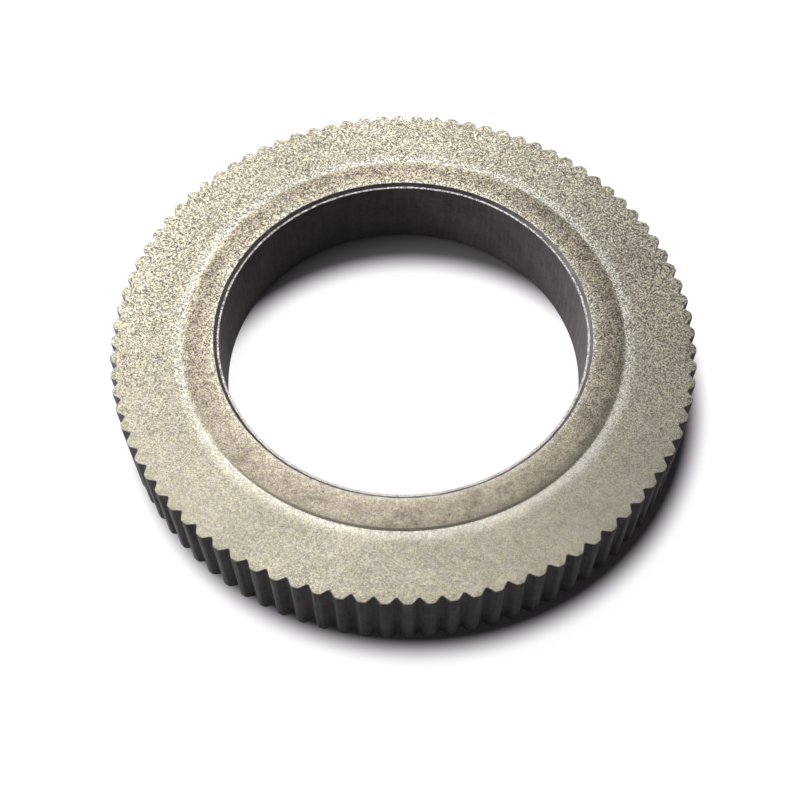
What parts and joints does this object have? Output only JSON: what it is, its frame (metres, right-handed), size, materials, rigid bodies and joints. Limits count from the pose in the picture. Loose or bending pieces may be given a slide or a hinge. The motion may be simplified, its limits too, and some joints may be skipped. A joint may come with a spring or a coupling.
{
  "type": "shaft collar",
  "caption": "Thin one-piece ring collar with a plain bore, a raised land round the bore on each face, and straight serrations round its rim.",
  "frame": {"origin": "centre of the lower land, on the bore's axis", "axes": "+Z along the bore's axis, from the lower land to the upper land; +X through the middle of a tooth's tip"},
  "size_m": [0.0254, 0.0254, 0.0038],
  "materials": {
    "sintered_metal": "as-sintered and tumbled: satin, finely speckled, warm grey"
  },
  "bodies": {
    "root": {"serrated_collar": "sintered_metal"}
  },
  "joints": []
}
